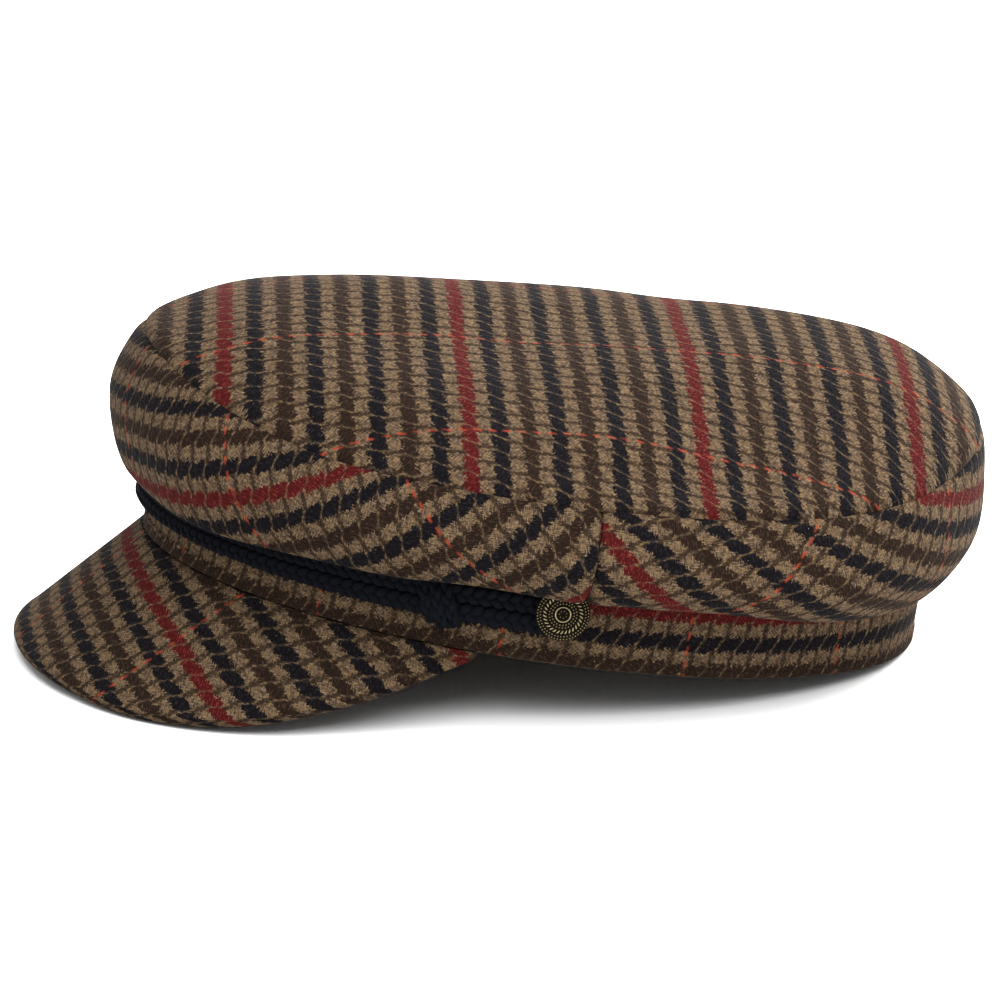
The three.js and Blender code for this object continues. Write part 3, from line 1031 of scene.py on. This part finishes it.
def unrolled(root, ways):
    """The root curve laid flat, and the flat direction of the leaf at each of its points."""
    tangent = unit(np.gradient(root, axis=0))
    step_length = np.linalg.norm(np.diff(root, axis=0), axis=1)
    bend = np.cross(tangent[:-1], tangent[1:])
    leaf_normal = unit(np.cross(ways, tangent))
    heading = np.concatenate([[0], np.cumsum(np.sum(bend * leaf_normal[1:], axis=1))])
    heading -= heading[len(heading) // 2]
    middle_heading = (heading[:-1] + heading[1:]) / 2
    steps = np.stack([np.sin(middle_heading), -np.cos(middle_heading)], axis=1) * step_length[:, None]
    flat = np.concatenate([[[0.0, 0.0]], np.cumsum(steps, axis=0)])
    flat -= flat[len(flat) // 2]
    lean = np.arccos(np.clip(np.sum(tangent * ways, axis=1), -1, 1))
    flat_way = np.stack([np.sin(heading - lean), -np.cos(heading - lean)], axis=1)
    return flat, flat_way


# %% Rows of the peak: the upper side, the rim and the lower side
PEAK_UP = -0.3
ROWS_CROWD = 0.85
THINS_OVER = 1 / 9
RIM_ROWS = 9
RIM_ROUND = 0.8
RIM_SHARE = 0.03
RIM_SEAM = {"reach": 42.0, "width": 1.4, "depth": 0.25}
PEAK_WAVE = 0.5
PEAK_WAVE_LENGTH = 26.0
ROOT_TUCK = 2.0

shares = np.linspace(-1, 1, PEAK_COLUMNS + 1)
places = np.linspace(0, 1, PEAK_ROWS) ** ROWS_CROWD
peak_root = beside_band(shares * PEAK_END, 0.0, PEAK_UP)
ways, reach = peak_way(shares), reach_at(np.abs(shares))


def peak_loops():
    leaf = peak_root + places[:, None, None] * (reach[:, None] * ways)
    tucked = beside_band(shares * PEAK_END, -BAND_THICKNESS + BAND_EDGE, PEAK_UP)
    upper = np.concatenate([tucked[None], leaf])
    normals = -grid_normals(upper, False)
    thinning = np.clip((1 - np.abs(shares)) / THINS_OVER, 0, 1)[:, None]
    thick = PEAK_END_THICKNESS + (PEAK_THICKNESS - PEAK_END_THICKNESS) * thinning
    lower = upper - thick * normals
    # The rim is rounded: its middle stands out beyond both layers
    turn = np.linspace(0, np.pi, RIM_ROWS + 2)[1:-1, None, None]
    edge = (upper[-1] + lower[-1]) / 2
    rim = edge + thick / 2 * (np.cos(turn) * normals[-1] + RIM_ROUND * np.sin(turn) * ways)
    pull = RIM_SEAM["depth"] * bell((1 - places) * RIM_SEAM["reach"], RIM_SEAM["width"])
    upper[1:] -= pull[:, None, None] * normals[1:]
    fade = np.clip(np.concatenate([[0], places * 6]), 0, 1)[:, None]
    soft = PEAK_WAVE * lumps(upper, PEAK_WAVE_LENGTH, 4) * fade
    upper = upper + soft[..., None] * normals
    return np.concatenate([upper, rim, lower[::-1]])


def peak_coordinates():
    """The same rows on the flat crescent."""
    flat, flat_way = unrolled(peak_root, ways)
    side = np.concatenate([[0], places])
    rim = 1 + RIM_SHARE * (np.arange(RIM_ROWS) + 1)
    rows = np.concatenate([side, rim, side[::-1]])
    crescent = flat + rows[:, None, None] * (reach[:, None] * flat_way)
    crescent[[0, -1]] = flat - ROOT_TUCK * flat_way
    x, y = crescent[..., 0], crescent[..., 1]
    return cut_from_cloth(x + PEAK_PULL["lean"] * y + PEAK_PULL["fan"] * x * y, y, PEAK_CUT)


# %% The peak's mesh
def peak():
    body = ring_body(peak_loops(), peak_coordinates(), 0)
    piece = new_piece("peak_cloth", body, "cloth", TWEED)
    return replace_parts(piece, "peak")


peak()

# %% [markdown]
# ## Cotton cord
#
# The cords are soft cotton, dyed a navy that is nearly black. Each strand is a
# bundle of fine yarns with a slight twist. The yarns are too thin to model, so the
# material draws them: fine slanting lines, with painted shade between the yarns
# and a painted highlight on top of each, and a bump that follows them.

# %% The cord material
CORD_SHADE = (0.0013, 0.0015, 0.0024)
CORD_HIGHLIGHT = (0.0060, 0.0068, 0.0104)
CORD_YARN = 0.00034
CORD_RELIEF = 0.00010


def cord_material():
    material, tree = new_material("navy_cord")
    around, along = map_parts(tree, "strand")
    twist = (around + along * 0.35) / CORD_YARN
    fuzz = grain(around * 9000, along * 1600, 3.0, 0.7)
    yarns = wave(twist + (fuzz - 0.5) * 0.9)
    # Painted shade between the yarns and a painted highlight on their tops, broken up by the fuzz
    tone = step(yarns * 0.6 + fuzz * 0.8, 0.35, 1.15)
    colour = mix(tone, CORD_SHADE, CORD_HIGHLIGHT)
    finish_material(
        tree, colour, yarns + fuzz * 1.2, CORD_RELIEF,
        Roughness=0.85, Specular_IOR_Level=0.04,
        Sheen_Weight=0.006, Sheen_Roughness=0.3, Sheen_Tint=(0.8, 0.85, 1.0, 1),
    )
    return material


CORD = cord_material()
print("cord nodes:", len(CORD.node_tree.nodes))

# %% [markdown]
# ## The plaited cords
#
# A plait of three strands is two waves. Each strand swings from one edge of the
# cord to the other once in a period. It dives and rises twice as fast, so it goes
# over its neighbour on one side and under it on the other. The three strands
# follow one another a third of a period apart. One function makes such a plait
# along any path, so the same one serves the two long cords and the knots.

# %% A strand, and three of them plaited
STRAND_SIDES = 10
STRAND_STEP = 0.6
STRAND_SHARE = 0.44
PLAIT_PERIOD = 9.4


def strand(path, outward, half_wide, half_deep):
    """A soft oval strand along a path, its flat side towards outward."""
    tangent = unit(np.gradient(path, axis=0))
    wide = unit(np.cross(tangent, outward))
    deep = np.cross(wide, tangent)
    turn = np.arange(STRAND_SIDES) * 2 * np.pi / STRAND_SIDES
    across = np.multiply.outer(half_wide * np.ones(len(path)), np.cos(turn))[..., None] * wide[:, None]
    inwards = np.multiply.outer(half_deep * np.ones(len(path)), np.sin(turn))[..., None] * deep[:, None]
    length = running_length(path[:, None], 0)
    around = np.abs(turn - np.pi) * np.mean(half_wide)
    coordinates = np.stack(np.broadcast_arrays(around, length), axis=-1)
    return turned_body(path[:, None] + across + inwards, MM * coordinates)


def plait(path, outward, half_wide, half_deep, period):
    """Three strands that pass over and under each other along a path."""
    length = running_length(path[:, None], 0)[:, 0]
    upward = unit(np.cross(outward, np.gradient(path, axis=0)))
    bodies = []
    for number in range(3):
        phase = 2 * np.pi * (length / period + number / 3)
        swing = (1 - STRAND_SHARE) * half_wide * np.sin(phase)
        depth = (1 - STRAND_SHARE) * half_deep * np.sin(2 * phase)
        line = path + swing[:, None] * upward + depth[:, None] * outward
        bodies.append(strand(line, outward, STRAND_SHARE * half_wide, STRAND_SHARE * 1.25 * half_deep))
    return bodies


# %% The two cords round the front of the band
CORD_GAP = 0.2
CORD_LOW = 7.8
CORD_DEEP = 1.6
CORDS_TALL = {"front": 7.8, "side": 10.2}
CORDS_END = 84.9
# Shares of that height: where each cord's middle lies, and half a cord
CORD_MIDDLES = [0.255, 0.745]
CORD_HALF = 0.262
CORD_WAVE = 0.25
CORD_WAVE_DEGREES = 14


def cords_height(angle):
    """How tall the two cords are together, at a direction round the cap."""
    front, side = CORDS_TALL["front"], CORDS_TALL["side"]
    return front + (side - front) * np.sin(np.radians(angle)) ** 2


def cords():
    steps = round(2 * math.radians(CORDS_END) * BAND_LENGTH / STRAND_STEP)
    turns = np.linspace(-CORDS_END, CORDS_END, steps)
    tall = cords_height(turns)
    bodies = []
    for number, share in enumerate(CORD_MIDDLES):
        path = beside_band(turns, CORD_GAP + CORD_DEEP, CORD_LOW + share * tall)
        places = [Vector((turn / CORD_WAVE_DEGREES, 9 * (number + 1), 0)) for turn in turns]
        path[:, 2] += CORD_WAVE * np.array([noise.noise(place) for place in places])
        bodies += plait(path, outward_at(turns), CORD_HALF * tall, CORD_DEEP, PLAIT_PERIOD)
    piece = new_piece("cords", joined(bodies), "strand", CORD)
    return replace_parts(piece, "braid")


cords()

# %% [markdown]
# ## The knots
#
# On each side a knot ties the two cords together a little in front of the button.
# What shows of it is three soft turns side by side, laid over both cords at a
# slant, with the middle one hanging a bit lower. The turns end at the band, where
# the real cord goes on behind.

# %% Turns over the cords
KNOT_ANGLE = 68.5
KNOT_TURNS = [
    {"at": -3.1, "drop": 0.3, "swell": 0.9},
    {"at": 0.0, "drop": 1.5, "swell": 1.2},
    {"at": 3.0, "drop": 0.5, "swell": 0.9},
]
KNOT_SLANT = 2.3
KNOT_HALF_WIDE = 1.75
KNOT_HALF_DEEP = 0.95
KNOT_REACH = 1.95
KNOT_STEPS = 56
KNOT_TALLER = 0.7
KNOT_PERIOD = 12.0
SIDES = {"left": 1, "right": -1}


def knot(name, side):
    turn = np.linspace(-KNOT_REACH, KNOT_REACH, KNOT_STEPS)
    tall = cords_height(KNOT_ANGLE)
    bodies = []
    for wrap in KNOT_TURNS:
        low = np.clip(-np.sin(turn), 0, 1) * wrap["drop"]
        up = CORD_LOW + tall / 2 + (tall / 2 + KNOT_TALLER) * np.sin(turn) - low
        out = CORD_GAP + CORD_DEEP + (CORD_DEEP + wrap["swell"]) * np.cos(turn)
        along = wrap["at"] - KNOT_SLANT * np.sin(turn)
        angle = side * (KNOT_ANGLE + np.degrees(along / BAND_LENGTH))
        path = beside_band(angle, out, up)
        outward = unit(beside_band(angle, out + np.cos(turn), up + np.sin(turn)) - path)
        bodies += plait(path, outward, KNOT_HALF_WIDE, KNOT_HALF_DEEP, KNOT_PERIOD)
    piece = new_piece("knot_turns_" + name, joined(bodies), "strand", CORD)
    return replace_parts(piece, "knot_" + name)


for name, side in SIDES.items():
    knot(name, side)

# %% [markdown]
# ## Antiqued bronze
#
# An antiqued button is blackened all over and then rubbed, so the recesses stay
# nearly black and every raised dot shines. The mesh carries the height of its
# relief in the UV map named relief, and the material mixes tarnish and bare metal
# by that height, with a little wear to break it up.

# %% The bronze material
TARNISH = (0.009, 0.0075, 0.0055)
BARE_METAL = (0.29, 0.235, 0.125)
WEAR_RELIEF = 0.00003


def bronze_material():
    material, tree = new_material("antiqued_bronze")
    height, radius = map_parts(tree, "relief")
    wear = grain(radius * 4.0, height * 9.0 + radius * 3.0, 3.0, 0.7)
    rubbed = step(height + (wear - 0.5) * 0.14, 0.12, 0.36)
    colour = mix(rubbed, TARNISH, BARE_METAL)
    shader = tree.nodes["Principled BSDF"]
    tree.links.new((rubbed * -0.35 + 0.75).socket, shader.inputs["Roughness"])
    finish_material(tree, colour, wear, WEAR_RELIEF, Metallic=1.0)
    return material


BRONZE = bronze_material()
print("bronze nodes:", len(BRONZE.node_tree.nodes))

# %% [markdown]
# ## The buttons
#
# A button is turned round its own axis: from the middle of its face out to the
# rim, round the edge, along the back and down the shank to the band. The face is
# set with rings of small raised dots, a twisted rope ring, and a thin plain ring
# round a few last dots. All of it is one surface, as on a stamped button.

# %% Relief of the face
BUTTON_ANGLE = 86.0
BUTTON_UP = 14.8
BUTTON_RADIUS = 7.0
BUTTON_BACK = 3.5
BUTTON_FACE = 1.3
SHANK_RADIUS = 1.6
BUTTON_COLUMNS = 440
# The radius of each ring, how many dots it has, and the radius of a dot
DOT_RINGS = [(6.55, 52, 0.27), (5.85, 46, 0.27), (3.55, 28, 0.26), (2.85, 22, 0.26), (0.95, 7, 0.24)]
ROPE = {"radius": 4.72, "half": 0.58, "tall": 0.36, "strands": 30, "twist": 2.2}
THIN_RING = {"radius": 1.95, "half": 0.22, "tall": 0.38}


def round_ring(across):
    """The height of a round wire, where across runs from -1 to 1 over it."""
    return np.sqrt(np.clip(1 - across**2, 0, 1))


def face_relief(radius, turn):
    """How far the face stands up at a place given by radius and turn, in millimetres."""
    relief = np.zeros(np.broadcast(radius, turn).shape)
    for number, (ring, count, size) in enumerate(DOT_RINGS):
        pitch = 2 * np.pi / count
        off = (turn + number * pitch / 2) % pitch - pitch / 2
        inside = 1 - ((radius - ring) ** 2 + (ring * off) ** 2) / size**2
        relief = np.maximum(relief, np.sqrt(np.clip(inside, 0, 1)) * size)
    across_rope = (radius - ROPE["radius"]) / ROPE["half"]
    strands = 0.5 + 0.5 * np.cos(ROPE["strands"] * turn + ROPE["twist"] * across_rope)
    relief = np.maximum(relief, round_ring(across_rope) * ROPE["tall"] * strands)
    across_ring = (radius - THIN_RING["radius"]) / THIN_RING["half"]
    return np.maximum(relief, round_ring(across_ring) * THIN_RING["tall"])


# %% The two buttons
BEVEL = 0.12
SHANK_FLARE = 0.3
FACE_HUB = 0.06
FACE_ROWS = 92
# How far out the foot is from the band, and the shank's end from the foot
FOOT_OUT = 0.3
SHANK_END = 0.1


def button(name, side):
    turn = np.arange(BUTTON_COLUMNS) * 2 * np.pi / BUTTON_COLUMNS
    face = np.linspace(FACE_HUB, BUTTON_RADIUS - BEVEL, FACE_ROWS)
    relief = face_relief(face[:, None], turn[None, :])
    front = BUTTON_FACE + relief
    edge = [(BUTTON_RADIUS, BUTTON_FACE - BEVEL), (BUTTON_RADIUS, BEVEL), (BUTTON_RADIUS - BEVEL, 0.0),
            (SHANK_RADIUS + SHANK_FLARE, 0.0), (SHANK_RADIUS, -SHANK_FLARE),
            (SHANK_RADIUS, -BUTTON_BACK + SHANK_END)]
    radii = np.concatenate([face, [radius for radius, height in edge]])
    heights = np.concatenate([front, [[height] * BUTTON_COLUMNS for radius, height in edge]])
    relief = np.concatenate([relief, np.zeros((len(edge), BUTTON_COLUMNS))])
    foot = beside_band(side * BUTTON_ANGLE, FOOT_OUT, BUTTON_UP)
    outward = unit(outward_at(side * BUTTON_ANGLE))
    upward = np.array([0.0, 0.0, 1.0])
    sideways = np.cross(upward, outward)
    flat = radii[:, None, None] * (np.cos(turn)[:, None] * sideways + np.sin(turn)[:, None] * upward)
    grid = foot + flat + (heights + BUTTON_BACK)[..., None] * outward
    map_points = np.stack(np.broadcast_arrays(relief, radii[:, None]), axis=-1)
    piece = new_piece("metal_button_" + name, turned_body(grid, map_points), "relief", BRONZE)
    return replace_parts(piece, "button_" + name)


for name, side in SIDES.items():
    button(name, side)
